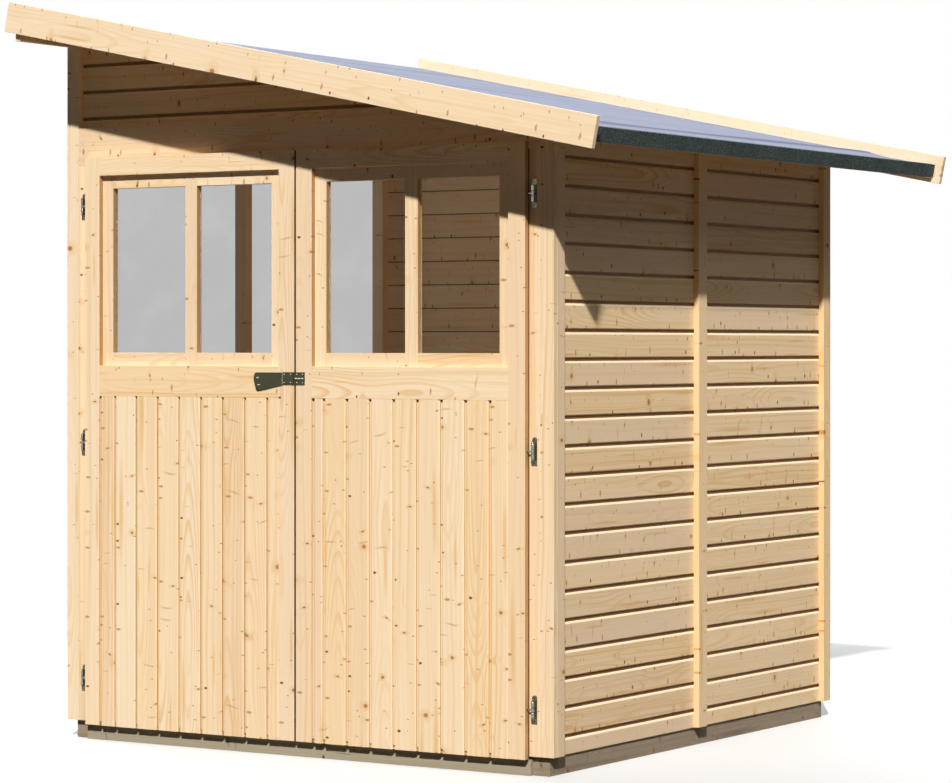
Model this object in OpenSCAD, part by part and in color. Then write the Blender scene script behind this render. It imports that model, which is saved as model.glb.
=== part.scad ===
// Lean-to garden shed in profile boards: pent roof, glazed double doors, open house side.
// Millimetres. u runs right from the house wall, v back from the front strips, w up from the ground.

/* [Plan] */
// Width from the house wall to the outer face of the corner strips
shed_width = 1822; // [1700:2:2200]
// Depth over the front and rear strips
shed_depth = 1810; // [1600:10:2400]

/* [Timber] */
// Thickness of the profile boards
board_t = 19; // [16:1:24]
// Pitch of the profile boards
board_pitch = 85; // [80:1:100]
// Thickness of the cover strips and the door leaves
strip_t = 19; // [16:1:22]
// Width of a post
post_w = 46; // [42:1:54]
// Depth of a post
post_d = 38; // [36:1:44]
// Height of the base timbers
base_h = 57; // [45:1:70]
// Width of the base timbers
base_w = 45; // [40:1:60]
// Inset of the front and rear base timbers from the house wall
base_inset = 26; // [10:1:40]
// Inset of the base timbers behind the right wall's boards
base_reveal = 6; // [0:1:12]

/* [Roof] */
// Height of the roof deck's underside at the house wall
roof_high = 2272; // [2250:1:2400]
// Fall of the roof in degrees
roof_fall = 11.57; // [9:0.01:12.5]
// Overhang of the roof sheet at the low eave
eave_overhang = 272; // [200:2:340]
// Thickness of the deck
deck_t = 19; // [16:1:22]
// Thickness of the roof sheet
felt_t = 3; // [2:0.5:4]
// Overhang of the roof at the front and the rear
overhang = 270; // [200:5:320]
// Width of the fascia boards
fascia_w = 93.5; // [88:0.5:110]
// Thickness of the fascia boards
fascia_t = 18; // [16:1:22]
// Reach of the fascia below the deck's underside
fascia_drop = 36; // [30:1:38]
// Depth of the rafters
rafter_h = 58; // [50:1:70]
// Width of the board that closes the roof's high end
high_board_t = 20; // [16:1:24]
// Width of the board under the eave
eave_board_w = 40; // [30:1:60]
// Depth of the board under the eave
eave_board_h = 21; // [18:1:26]

/* [Doors] */
// Distance from the shed's side faces to the leaves
door_side = 88; // [84:1:110]
// Drop from the roof deck at the low corner to the leaves' top edge
door_drop = 47; // [40:1:80]
// Height of the leaf's lower edge
leaf_bottom = 42; // [38:1:52]
// Gap between the two leaves
leaf_gap = 6; // [5:0.5:10]
// Shift of both leaves from the middle of the front to the right
door_shift = 4.5; // [0:0.5:5]
// Clearance between a leaf and the frame behind it
leaf_clear = 5; // [5:0.5:8]
// Width of the door stiles
stile_w = 59; // [50:1:70]
// Height of the top rail
top_rail_h = 58; // [50:1:70]
// Height of the middle rail
mid_rail_h = 97; // [80:1:110]
// Height of the window in a leaf
window_h = 602; // [500:2:700]
// Width of the glazing bars that show around the panes
bar_w = 41; // [30:1:46]
// Width of the bar between the panes
muntin_w = 46; // [30:1:60]
// Depth of the glazing bars
bar_d = 17; // [12:1:20]
// Thickness of a pane
pane_t = 3; // [2:0.5:4]
// Overlap of the door leaves on the frame behind them
door_lap = 31; // [27:1:31]
// Visible height of the door header
header_h = 97; // [80:1:110]

/* [Hardware] */
// Height of a hinge plate
plate_h = 83; // [75:1:95]
// Width of a hinge plate
plate_w = 16; // [14:1:18]
// Diameter of a hinge barrel
barrel_d = 9; // [8:0.5:9]
// Diameter of a hinge pin
pin_d = 4; // [3:0.5:5]
// Length of the latch lever
lever_l = 109; // [80:1:120]
// Height of the latch plates
latch_h = 38; // [30:1:44]

/* [Hidden] */
$fn = 32;
touch = 0.3;
seat = 0.1;

// Planes of the walls
side_face = shed_width - strip_t;
side_inner = side_face - board_t;
front_face = strip_t;
front_inner = front_face + board_t;
rear_face = shed_depth - strip_t;
rear_inner = rear_face - board_t;
mid_v = shed_depth / 2 + 10;
panel_joint = shed_depth / 2 + 3;
panel_u = shed_width / 2;
right_post_u = side_inner - post_w;
base_right = side_face - base_reveal;

// Profile of a board joint, from the lower board's chamfer to the upper board's lip
groove_depth = 5.5;
groove_chamfer = 6;
groove_band = 9;
groove_lip = 3;
first_joint = base_h + 58;
door_groove_w = 7;
door_groove_d = 4;
end_margin = 14;

// Roof planes
fascia_end = 24;
fascia_past = 25;
deck_start = -10;
roof_t = deck_t + felt_t;
deck_length = (shed_width + eave_overhang - roof_t * sin(roof_fall)) / cos(roof_fall);
front_deck = -overhang + fascia_t;
rear_deck = shed_depth + overhang - fascia_t;
rafter_drop = rafter_h / cos(roof_fall);
function under(u) = roof_high - seat - u * tan(roof_fall);
high_seat = under(high_board_t) - rafter_h + 1;

// Doors
mid_u = shed_width / 2 + door_shift;
leaf_back = -leaf_clear;
leaf_front = leaf_back - strip_t;
leaf_top = under(shed_width) - door_drop;
leaf_h = leaf_top - leaf_bottom;
left_edge = door_side + door_shift;
leaf_w = mid_u - leaf_gap / 2 - left_edge;
jamb_edge = door_side + door_lap;
header_low = leaf_top - 22;
header_top = leaf_top + header_h + 1;
glass_high = leaf_top - top_rail_h;
glass_low = glass_high - window_h;
boards_top = glass_low - mid_rail_h;
frame_lap = 19;
ledge_t = 19;
ledge_h = 70;
ledge_in = 45;
threshold_lap = 10;
threshold_in = 7;
threshold_t = 16;

// Strips
strip_w = 46;
corner_strip_v = 63;
mid_strip_w = 54;
rear_strip_w = 51;

// Hinges
plate_t = 2.5;
hinge_side = 19;
axis_v = leaf_back - 8;
lug_w = 6;
stud_d = 5;
knuckle_h = 13;
barrel_h = 52;
barrel_rise = -1;
screw_d = 5;
screw_in = 8;
hinge_in = 153;
hinge_z = [hinge_in, leaf_h / 2, leaf_h - hinge_in];

// Latch
latch_z = boards_top + mid_rail_h * 0.62;
latch_t = 3;
lever_t = 5;
lever_tall = 56;
latch_plate_w = 42;
keeper_w = 34;
bolt_d = 7;

// The frame's origin is the middle of the part's box, on the ground
slope_x = cos(roof_fall);
slope_z = sin(roof_fall);
box_low_u = -fascia_end * slope_x - fascia_drop * slope_z;
box_high_u = (deck_length + fascia_past) * slope_x + (fascia_w - fascia_drop) * slope_z;
origin_u = (box_low_u + box_high_u) / 2;
origin_v = shed_depth / 2;

module place() {
    translate([-origin_u, -origin_v, 0]) children();
}

module block(low, high) {
    translate(low) cube(high - low);
}

// Outline in u and w, drawn between two depths v
module across(outline, v0, v1) {
    translate([0, v1, 0]) rotate([90, 0, 0]) linear_extrude(v1 - v0) polygon(outline);
}

// Outline in v and w, drawn between two widths u
module along(outline, u0, u1) {
    translate([u0, 0, 0]) rotate([90, 0, 90]) linear_extrude(u1 - u0) polygon(outline);
}

// Box on the roof plane: x down the slope, z square to the deck's underside
module on_roof(low, high) {
    translate([0, 0, roof_high]) rotate([0, roof_fall, 0]) block(low, high);
}

// Edge of a boarded wall between two heights: face is its outer plane, dir points out
function joints(low, high) = [
    for (g = [first_joint : board_pitch : high - end_margin]) if (g > low + end_margin) g
];
function boarded_edge(face, dir, low, high) = [
    for (g = joints(low, high)) each [
        [face, g - groove_chamfer],
        [face - dir * groove_depth, g],
        [face - dir * groove_depth, g + groove_band],
        [face, g + groove_band + groove_lip]
    ]
];

module roof_cut() {
    translate([0, 0, roof_high - seat]) rotate([0, roof_fall, 0])
        translate([-shed_width, -shed_depth, 0]) cube([3 * shed_width, 3 * shed_depth, shed_width]);
}

module front_base_timber() {
    color("DarkKhaki") place()
        block([base_inset, front_face, 0], [base_right, front_face + base_w, base_h]);
}

module rear_base_timber() {
    color("DarkKhaki") place()
        block([base_inset, rear_face - base_w, 0], [base_right, rear_face, base_h]);
}

module right_base_timber() {
    color("Khaki") place()
        block([base_right - base_w, front_face + base_w, 0], [base_right, rear_face - base_w, base_h]);
}

module left_base_timber() {
    color("Khaki") place()
        block([base_inset, front_face + base_w, 0],
              [base_inset + base_w, rear_face - base_w, base_h]);
}

module threshold_board() {
    color("Tan") place()
        block([door_side - threshold_in, front_face - threshold_t, 0],
              [shed_width - door_side + threshold_in, front_face, base_h - threshold_lap]);
}

// Right-hand posts are cut to the rafters' underside
module low_post(v0) {
    u0 = right_post_u;
    across([[u0, base_h], [side_inner, base_h], [side_inner, under(side_inner) - rafter_drop - seat],
            [u0, under(u0) - rafter_drop - seat]], v0, v0 + post_d);
}

module high_post(v0) {
    block([0, v0, base_h], [post_w, v0 + post_d, high_seat]);
}

module front_posts() {
    color("Peru") place() {
        high_post(front_face);
        low_post(front_face);
    }
}

module rear_posts() {
    color("Peru") place() {
        high_post(rear_inner - post_d);
        low_post(rear_inner - post_d);
    }
}

module open_side_post() {
    color("Sienna") place() high_post(mid_v - post_d / 2);
}

module wall_studs() {
    color("Sienna") place() {
        low_post(mid_v - post_d / 2);
        u0 = panel_u - post_w / 2;
        u1 = panel_u + post_w / 2;
        across([[u0, base_h], [u1, base_h], [u1, under(u1) - rafter_drop - seat],
                [u0, under(u0) - rafter_drop - seat]], rear_inner - post_d, rear_inner);
    }
}

// Each rafter is notched over its high post and sits on its low one
module rafter(v0) {
    across([[high_board_t, high_seat], [post_w, high_seat], [post_w, under(post_w) - rafter_drop],
            [side_inner, under(side_inner) - rafter_drop], [side_inner, under(side_inner)],
            [high_board_t, under(high_board_t)]], v0, v0 + post_d);
}

module rafters() {
    color("Chocolate") place() {
        rafter(front_inner);
        rafter(mid_v - post_d / 2);
        rafter(rear_inner - post_d);
    }
}

// Strip on the high corner, notched around the high board
function high_strip() = [
    [0, base_h], [strip_w, base_h], [strip_w, under(strip_w)],
    [high_board_t, under(high_board_t)], [high_board_t, high_seat], [0, high_seat]
];

module front_corner_strips() {
    color("BurlyWood") place() {
        across(high_strip(), 0, strip_t);
        u0 = shed_width - strip_w;
        across([[u0, base_h], [shed_width, base_h], [shed_width, under(shed_width)],
                [u0, under(u0)]], 0, strip_t);
    }
}

module door_jambs() {
    color("Wheat") place() {
        block([strip_w, 0, base_h], [jamb_edge, strip_t, header_low]);
        block([shed_width - jamb_edge, 0, base_h], [shed_width - strip_w, strip_t, header_low]);
    }
}

module door_header() {
    color("NavajoWhite") place() difference() {
        block([strip_w, 0, header_low], [shed_width - strip_w, strip_t, header_top]);
        roof_cut();
    }
}

module front_gable_panel() {
    low = header_top - 30;
    high = under(post_w);
    color("Moccasin") place() difference() {
        along(concat([[front_inner, high], [front_inner, low], [front_face, low]],
                     boarded_edge(front_face, -1, low, high), [[front_face, high]]),
              post_w, right_post_u - post_w);
        roof_cut();
    }
}

module right_wall(v0, v1) {
    across(concat([[side_inner, under(side_inner)], [side_inner, base_h], [side_face, base_h]],
                  boarded_edge(side_face, 1, base_h, under(side_face)),
                  [[side_face, under(side_face)]]), v0, v1);
}

module right_wall_front_panel() {
    color("Wheat") place() right_wall(front_face, panel_joint);
}

module right_wall_rear_panel() {
    color("PeachPuff") place() right_wall(panel_joint, rear_face);
}

module rear_wall(u0, u1) {
    high = under(u0);
    difference() {
        along(concat([[rear_inner, high], [rear_inner, base_h], [rear_face, base_h]],
                     boarded_edge(rear_face, 1, base_h, high), [[rear_face, high]]), u0, u1);
        roof_cut();
    }
}

module rear_wall_left_panel() {
    color("Wheat") place() difference() {
        rear_wall(0, panel_u);
        block([-touch, rear_inner - touch, high_seat], [high_board_t, rear_face + touch, roof_high]);
    }
}

module rear_wall_right_panel() {
    color("PeachPuff") place() rear_wall(panel_u, side_inner);
}

module side_strip(v0, v1) {
    across([[side_face, base_h], [shed_width, base_h], [shed_width, under(shed_width)],
            [side_face, under(side_face)]], v0, v1);
}

module right_wall_strips() {
    color("BurlyWood") place() {
        side_strip(front_face, corner_strip_v);
        side_strip(panel_joint - mid_strip_w / 2, panel_joint + mid_strip_w / 2);
        side_strip(shed_depth - rear_strip_w, shed_depth);
    }
}

module rear_strip(u0, u1) {
    across([[u0, base_h], [u1, base_h], [u1, under(u1)], [u0, under(u0)]], rear_face, shed_depth);
}

module rear_wall_strips() {
    color("BurlyWood") place() {
        across(high_strip(), rear_face, shed_depth);
        rear_strip(panel_u - mid_strip_w / 2, panel_u + mid_strip_w / 2);
        rear_strip(side_face - strip_w, side_face);
    }
}

module high_side_board() {
    color("Peru") place()
        across([[0, high_seat], [high_board_t, high_seat], [high_board_t, under(high_board_t)],
                [0, under(0)]], front_deck, rear_deck);
}

module roof_deck() {
    color("Tan") place() on_roof([deck_start, front_deck, 0], [deck_length - felt_t, rear_deck, deck_t]);
}

module roof_felt() {
    color("LightSteelBlue") place()
        on_roof([deck_start, front_deck, deck_t], [deck_length, rear_deck, deck_t + felt_t]);
}

module eave_board() {
    color("Tan") place()
        on_roof([deck_length - felt_t - eave_board_w, front_deck, -eave_board_h],
                [deck_length - felt_t, rear_deck, 0]);
}

module eave_felt_strip() {
    color("DarkSlateGray") place()
        on_roof([deck_length - felt_t, front_deck, felt_t - eave_board_h],
                [deck_length, rear_deck, deck_t]);
}

module fascia(v0) {
    on_roof([-fascia_end, v0, -fascia_drop],
            [deck_length + fascia_past, v0 + fascia_t, fascia_w - fascia_drop]);
}

module front_fascia() {
    color("Moccasin") place() fascia(-overhang);
}

module rear_fascia() {
    color("Moccasin") place() fascia(rear_deck);
}

// Doors are drawn as the left leaf; the right leaf is its mirror image
module mirrored() {
    translate([2 * mid_u, 0, 0]) mirror([1, 0, 0]) children();
}

// Fixed half of a hinge: plate, lugs, two barrels and the pin between them
module hinge_plate(z) {
    axis_u = left_edge - hinge_side;
    top = barrel_h / 2 + barrel_rise;
    difference() {
        translate([axis_u, 0, z]) rotate([90, 0, 0]) linear_extrude(plate_t) {
            translate([0, plate_h / 2 - plate_w / 2]) circle(d = plate_w);
            translate([-plate_w / 2, -plate_h / 2]) square([plate_w, plate_h - plate_w / 2]);
        }
        for (side = [-1, 1])
            translate([axis_u, touch, z + side * (plate_h / 2 - screw_in)])
                rotate([90, 0, 0]) cylinder(d = screw_d, h = 2 * plate_t);
    }
    for (part = [[knuckle_h / 2 + touch, top], [-barrel_h / 2 + barrel_rise, -knuckle_h / 2 - touch]]) {
        translate([axis_u, axis_v, z + part[0]]) cylinder(d = barrel_d, h = part[1] - part[0]);
        block([axis_u - lug_w / 2, axis_v, z + part[0]],
              [axis_u + lug_w / 2, -plate_t / 2, z + part[1]]);
    }
    translate([axis_u, axis_v, z - barrel_h / 2 + barrel_rise]) cylinder(d = pin_d, h = barrel_h);
}

// Moving half of a hinge: knuckle on the pin and the stud into the leaf's edge
module hinge_stud(z) {
    axis_u = left_edge - hinge_side;
    difference() {
        union() {
            translate([axis_u, axis_v, z - knuckle_h / 2]) cylinder(d = barrel_d, h = knuckle_h);
            translate([axis_u, axis_v, z]) rotate([0, 90, 0]) cylinder(d = stud_d, h = hinge_side);
        }
        translate([axis_u, axis_v, z - knuckle_h]) cylinder(d = pin_d + 2 * touch, h = 2 * knuckle_h);
    }
}

module all_hinges(half) {
    for (z = hinge_z)
        if (half == "plate") hinge_plate(leaf_bottom + z);
        else hinge_stud(leaf_bottom + z);
}

module post_hinge_plates() {
    color("SlateGray") place() {
        all_hinges("plate");
        mirrored() all_hinges("plate");
    }
}

module stiles() {
    for (u0 = [left_edge, left_edge + leaf_w - stile_w])
        block([u0, leaf_front, leaf_bottom], [u0 + stile_w, leaf_back, leaf_top]);
}

module rails() {
    for (span = [[boards_top, glass_low], [glass_high, leaf_top]])
        block([left_edge + stile_w, leaf_front, span[0]],
              [left_edge + leaf_w - stile_w, leaf_back, span[1]]);
}

// Grooved lower panel; first is the width of the board beside the hinge stile
module door_boards(first) {
    u0 = left_edge + stile_w;
    u1 = left_edge + leaf_w - stile_w;
    grooves = [for (g = [u0 + first : board_pitch : u1 - end_margin]) g];
    front = [
        for (g = grooves) each [
            [g - door_groove_w / 2, leaf_front],
            [g - door_groove_w / 2 + door_groove_d / 2, leaf_front + door_groove_d],
            [g + door_groove_w / 2 - door_groove_d / 2, leaf_front + door_groove_d],
            [g + door_groove_w / 2, leaf_front]
        ]
    ];
    translate([0, 0, leaf_bottom]) linear_extrude(boards_top - leaf_bottom)
        polygon(concat([[u0, leaf_back], [u0, leaf_front]], front, [[u1, leaf_front], [u1, leaf_back]]));
}

module ledges() {
    for (z = [leaf_bottom + ledge_h, boards_top - mid_rail_h - ledge_h])
        block([left_edge + ledge_in, leaf_back, z],
              [left_edge + leaf_w - ledge_in, leaf_back + ledge_t, z + ledge_h]);
}

// Glazing bars stand behind the leaf; the upright ones run full height
bars_left = left_edge + stile_w;
bars_right = left_edge + leaf_w - stile_w;
bars_mid = (bars_left + bars_right) / 2;

module bar(u0, u1, w0, w1) {
    block([u0, leaf_back, w0], [u1, leaf_back + bar_d, w1]);
}

module upright_bars() {
    low = glass_low - frame_lap;
    high = glass_high + frame_lap;
    bar(bars_left - frame_lap, bars_left + bar_w, low, high);
    bar(bars_mid - muntin_w / 2, bars_mid + muntin_w / 2, low, high);
    bar(bars_right - bar_w, bars_right + frame_lap, low, high);
}

module cross_bars() {
    for (w = [[glass_low - frame_lap, glass_low + bar_w], [glass_high - bar_w, glass_high + frame_lap]]) {
        bar(bars_left + bar_w, bars_mid - muntin_w / 2, w[0], w[1]);
        bar(bars_mid + muntin_w / 2, bars_right - bar_w, w[0], w[1]);
    }
}

module pane() {
    back = leaf_back + bar_d;
    block([bars_left, back, glass_low], [bars_right, back + pane_t, glass_high]);
}

module left_door_stiles() {
    color("NavajoWhite") place() stiles();
}

module left_door_rails() {
    color("BurlyWood") place() rails();
}

module left_door_boards() {
    color("Wheat") place() door_boards(board_pitch * 0.7);
}

module left_door_ledges() {
    color("Tan") place() ledges();
}

module left_window_uprights() {
    color("SandyBrown") place() upright_bars();
}

module left_window_cross_bars() {
    color("Peru") place() cross_bars();
}

module left_window_pane() {
    color("LightCyan", 0.4) place() pane();
}

module left_hinge_studs() {
    color("Silver") place() all_hinges("stud");
}

// Latch lever, flared to its free end, beside the riveted plate on the leaf's meeting edge
module latch() {
    right = left_edge + leaf_w;
    hinge = right - latch_plate_w;
    top = latch_z + latch_h / 2;
    color("DarkOliveGreen") place() {
        block([hinge, leaf_front - latch_t, latch_z - latch_h / 2], [right, leaf_front, top]);
        across([[hinge - touch, top - 1], [hinge - lever_l * 0.95, top - 1],
                [hinge - lever_l, top - latch_h / 2], [hinge - lever_l * 0.95, top - latch_h],
                [hinge - lever_l * 0.9, top - lever_tall], [hinge - lever_l * 0.8, top - lever_tall],
                [hinge - touch, top - latch_h]], leaf_front - lever_t, leaf_front);
    }
}

module right_door_stiles() {
    color("NavajoWhite") place() mirrored() stiles();
}

module right_door_rails() {
    color("BurlyWood") place() mirrored() rails();
}

module right_door_boards() {
    color("Wheat") place() mirrored() door_boards(board_pitch * 0.8);
}

module right_door_ledges() {
    color("Tan") place() mirrored() ledges();
}

module right_window_uprights() {
    color("SandyBrown") place() mirrored() upright_bars();
}

module right_window_cross_bars() {
    color("Peru") place() mirrored() cross_bars();
}

module right_window_pane() {
    color("LightCyan", 0.4) place() mirrored() pane();
}

module right_hinge_studs() {
    color("Silver") place() mirrored() all_hinges("stud");
}

// Keeper plate with the bolt's rounded channel
module latch_keeper() {
    edge = mid_u + leaf_gap / 2;
    color("DarkOliveGreen") place() {
        block([edge, leaf_front - latch_t, latch_z - latch_h / 2],
              [edge + keeper_w, leaf_front, latch_z + latch_h / 2]);
        translate([edge, leaf_front - bolt_d / 2 - touch, latch_z]) rotate([0, 90, 0])
            cylinder(d = bolt_d, h = keeper_w);
    }
}

front_base_timber();
rear_base_timber();
right_base_timber();
left_base_timber();
threshold_board();
front_posts();
rear_posts();
open_side_post();
wall_studs();
rafters();
front_corner_strips();
door_jambs();
door_header();
front_gable_panel();
right_wall_front_panel();
right_wall_rear_panel();
rear_wall_left_panel();
rear_wall_right_panel();
right_wall_strips();
rear_wall_strips();
high_side_board();
roof_deck();
roof_felt();
eave_board();
eave_felt_strip();
front_fascia();
rear_fascia();
post_hinge_plates();
left_door_stiles();
left_door_rails();
left_door_boards();
left_door_ledges();
left_window_uprights();
left_window_cross_bars();
left_window_pane();
left_hinge_studs();
latch();
right_door_stiles();
right_door_rails();
right_door_boards();
right_door_ledges();
right_window_uprights();
right_window_cross_bars();
right_window_pane();
right_hinge_studs();
latch_keeper();
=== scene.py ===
import math
import random

import bmesh
import bpy
from mathutils import Matrix, Vector, noise


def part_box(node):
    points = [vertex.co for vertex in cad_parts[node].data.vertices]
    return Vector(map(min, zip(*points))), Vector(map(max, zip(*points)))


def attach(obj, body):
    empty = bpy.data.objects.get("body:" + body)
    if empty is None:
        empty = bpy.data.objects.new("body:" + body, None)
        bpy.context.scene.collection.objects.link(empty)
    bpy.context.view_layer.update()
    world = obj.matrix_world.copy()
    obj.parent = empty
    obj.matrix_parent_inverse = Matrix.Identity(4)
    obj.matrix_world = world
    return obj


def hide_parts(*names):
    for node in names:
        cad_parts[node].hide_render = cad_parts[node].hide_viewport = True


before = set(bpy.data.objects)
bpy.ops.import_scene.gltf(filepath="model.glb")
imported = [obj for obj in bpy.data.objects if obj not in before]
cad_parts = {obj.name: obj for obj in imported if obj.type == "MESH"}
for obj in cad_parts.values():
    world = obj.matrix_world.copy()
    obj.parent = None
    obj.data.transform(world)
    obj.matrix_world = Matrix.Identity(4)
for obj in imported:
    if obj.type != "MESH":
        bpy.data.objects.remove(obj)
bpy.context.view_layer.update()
scene = bpy.context.scene
draw = random.Random(417)  # every random choice comes from here, in order
roofFall = math.radians(11.57)
bevelAngle = math.radians(30)
smoothAngle = math.radians(40)
flatAngle = math.radians(0.5)
weldGap = 0.00001
hair = 0.0001  # points this near to a plane lie on it
print("frame loaded:", len(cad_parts), "nodes")


def srgb(red, green, blue):
    def linear(value):
        value /= 255
        return value / 12.92 if value <= 0.04045 else ((value + 0.055) / 1.055) ** 2.4
    return (linear(red), linear(green), linear(blue), 1.0)


# hand tools

def pickNone():
    if bpy.context.object and bpy.context.object.mode != "OBJECT":
        bpy.ops.object.mode_set(mode="OBJECT")
    bpy.ops.object.select_all(action="DESELECT")


def pickOnly(piece):
    pickNone()
    piece.select_set(True)
    bpy.context.view_layer.objects.active = piece


def openMesh(piece):
    pickOnly(piece)
    bpy.ops.object.mode_set(mode="EDIT")
    bpy.ops.mesh.select_all(action="SELECT")


def closeMesh():
    bpy.ops.object.mode_set(mode="OBJECT")


def pickWhere(kind, test):
    # points or edges of the open mesh whose ends pass the test
    mesh = bpy.context.object.data
    work = bmesh.from_edit_mesh(mesh)
    bpy.ops.mesh.select_mode(type=kind)
    bpy.ops.mesh.select_all(action="DESELECT")
    for part in work.verts if kind == "VERT" else work.edges:
        ends = [part] if kind == "VERT" else part.verts
        part.select = test(*(end.co for end in ends))
    work.select_flush_mode()
    bmesh.update_edit_mesh(mesh)


def startBox(name, low, high):
    pickNone()
    low, high = Vector(low), Vector(high)
    bpy.ops.mesh.primitive_cube_add(size=1, location=(low + high) / 2)
    piece = bpy.context.object
    piece.name = name
    piece.scale = high - low
    bpy.ops.object.transform_apply(location=True, rotation=True, scale=True)
    return piece


def startRod(name, centre, radius, length, axis, sides=16):
    pickNone()
    turn = {"X": (0, math.pi / 2, 0), "Y": (math.pi / 2, 0, 0), "Z": (0, 0, 0)}[axis]
    bpy.ops.mesh.primitive_cylinder_add(vertices=sides, radius=radius, depth=length,
                                        location=centre, rotation=turn)
    piece = bpy.context.object
    piece.name = name
    bpy.ops.object.transform_apply(location=True, rotation=True, scale=True)
    return piece


def copyPiece(source, name, matrix):
    piece = source.copy()
    piece.data = source.data.copy()
    piece.name = name
    scene.collection.objects.link(piece)
    piece.data.transform(matrix)
    return piece


def joinPieces(name, pieces):
    pickNone()
    for piece in pieces:
        piece.select_set(True)
    bpy.context.view_layer.objects.active = pieces[0]
    if len(pieces) > 1:
        bpy.ops.object.join()
    pieces[0].name = name
    pieces[0].data.name = name
    return pieces[0]


def useModifier(piece, kind, **values):
    pickOnly(piece)
    tool = piece.modifiers.new(kind.lower(), kind)
    for key, value in values.items():
        setattr(tool, key, value)
    bpy.ops.object.modifier_apply(modifier=tool.name)


def softenEdges(piece, width, segments=2, crisp=False):
    useModifier(piece, "BEVEL", width=width, segments=segments, limit_method="ANGLE",
                angle_limit=bevelAngle)
    if crisp:
        return
    pickOnly(piece)
    bpy.ops.object.shade_smooth_by_angle(angle=smoothAngle)
    useModifier(piece, "WEIGHTED_NORMAL", mode="FACE_AREA", weight=80, keep_sharp=True)


def sliceMesh(spots, axis):
    # loops of points around the open mesh, at right angles to the axis
    normal = Vector([k == axis for k in range(3)])
    for spot in spots:
        bpy.ops.mesh.select_all(action="SELECT")
        bpy.ops.mesh.bisect(plane_co=normal * spot, plane_no=normal)


def cutMesh(piece, point, normal):
    # takes away what lies on the normal's side and closes the cut
    openMesh(piece)
    bpy.ops.mesh.bisect(plane_co=point, plane_no=normal, use_fill=True, clear_outer=True)
    closeMesh()


def copyNode(name, node):
    piece = bpy.data.objects.new(name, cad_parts[node].data.copy())
    piece.data.name = name
    piece.data.materials.clear()
    scene.collection.objects.link(piece)
    openMesh(piece)
    bpy.ops.mesh.customdata_custom_splitnormals_clear()
    bpy.ops.mesh.remove_doubles(threshold=weldGap)
    bpy.ops.mesh.dissolve_limited(angle_limit=flatAngle)
    closeMesh()
    return piece


def islandsOf(mesh):
    group = list(range(len(mesh.vertices)))

    def root(i):
        while group[i] != i:
            group[i] = group[group[i]]
            i = group[i]
        return i
    for edge in mesh.edges:
        group[root(edge.vertices[0])] = root(edge.vertices[1])
    islands = {}
    for i in range(len(group)):
        islands.setdefault(root(i), []).append(i)
    return [islands[key] for key in sorted(islands, key=lambda k: islands[k][0])]


def addValues(mesh, name):
    mesh.attributes.new(name, "FLOAT", "POINT")
    return mesh.attributes[name].data


def paintShadeValues(piece, depth):
    # painted light and shade for each point, in the joint attribute: 0 on the face, up to 1 for painted
    # shade, 1 to 2 for near-black painted shadow at the bottom of a joint, -1 for a painted highlight on a
    # chamfer
    joint = addValues(piece.data, "joint")
    for vert in piece.data.vertices:
        joint[vert.index].value = depth(vert.co)


def layGrain(piece, along=None, turn=None, chosenTone=None, leftTone=1.0, leastTone=0.0):
    # each board gets its own stretch of timber: along, across and through it, in metres;
    # across it counts from a whole number at the board's middle
    mesh = piece.data
    mesh.attributes.new("grain", "FLOAT_VECTOR", "POINT")
    mesh.attributes.new("tone", "FLOAT", "POINT")
    if "joint" not in mesh.attributes:
        mesh.attributes.new("joint", "FLOAT", "POINT")
    grain, tone = mesh.attributes["grain"], mesh.attributes["tone"]
    for island in islandsOf(mesh):
        spots = [turn @ mesh.vertices[i].co if turn else mesh.vertices[i].co.copy() for i in island]
        reach = [max(s[k] for s in spots) - min(s[k] for s in spots) for k in range(3)]
        order = sorted(range(3), key=lambda k: -reach[k])
        if along is not None:
            order = [along] + [k for k in order if k != along]
        middle = (max(s[order[1]] for s in spots) + min(s[order[1]] for s in spots)) / 2
        shift = [draw.uniform(0, 40), draw.randrange(40) - middle, draw.uniform(0, 40)]
        shade = leastTone + (1 - leastTone) * draw.random() if chosenTone is None else chosenTone
        if spots[0][0] < 0:
            shade *= leftTone
        for i, spot in zip(island, spots):
            grain.data[i].vector = [spot[order[k]] + shift[k] for k in range(3)]
            tone.data[i].value = shade


def dress(piece, body, material, slot, node=None):
    piece.data.materials.clear()
    piece.data.materials.append(material)
    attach(piece, body)
    if node:
        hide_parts(node)


# node tools

def feed(tree, node, values):
    # each named input gets a link or a plain value
    for key, value in values.items():
        if isinstance(value, bpy.types.NodeSocket):
            tree.links.new(value, node.inputs[key])
        else:
            node.inputs[key].default_value = value
    return node


def addNode(tree, kind, values=None, **settings):
    node = tree.nodes.new(kind)
    for key, value in settings.items():
        setattr(node, key, value)
    return feed(tree, node, values or {})


def calc(tree, operation, first, second=0.0, clamp=False):
    node = addNode(tree, "ShaderNodeMath", {0: first, 1: second}, operation=operation)
    node.use_clamp = clamp
    return node.outputs[0]


def remap(tree, value, low, high, outLow=0.0, outHigh=1.0, smooth=False):
    node = addNode(tree, "ShaderNodeMapRange", {
        "Value": value, "From Min": low, "From Max": high, "To Min": outLow, "To Max": outHigh},
        clamp=True, interpolation_type="SMOOTHSTEP" if smooth else "LINEAR")
    return node.outputs["Result"]


def blendColors(tree, share, first, second, kind="MIX"):
    node = addNode(tree, "ShaderNodeMix", {0: share, 6: first, 7: second}, data_type="RGBA", blend_type=kind)
    return node.outputs[2]


def addNoise(tree, place, scale, detail, roughness=0.5):
    return addNode(tree, "ShaderNodeTexNoise", {
        "Vector": place, "Scale": scale, "Detail": detail, "Roughness": roughness}).outputs["Fac"]


def seenRays(tree):
    # 1 where the camera looks, straight, by a reflection or through a pane, and 0 where light only bounces
    rays = addNode(tree, "ShaderNodeLightPath").outputs
    bent = calc(tree, "MAXIMUM", rays["Is Glossy Ray"], rays["Is Transmission Ray"])
    return calc(tree, "MAXIMUM", rays["Is Camera Ray"], bent)


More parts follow.
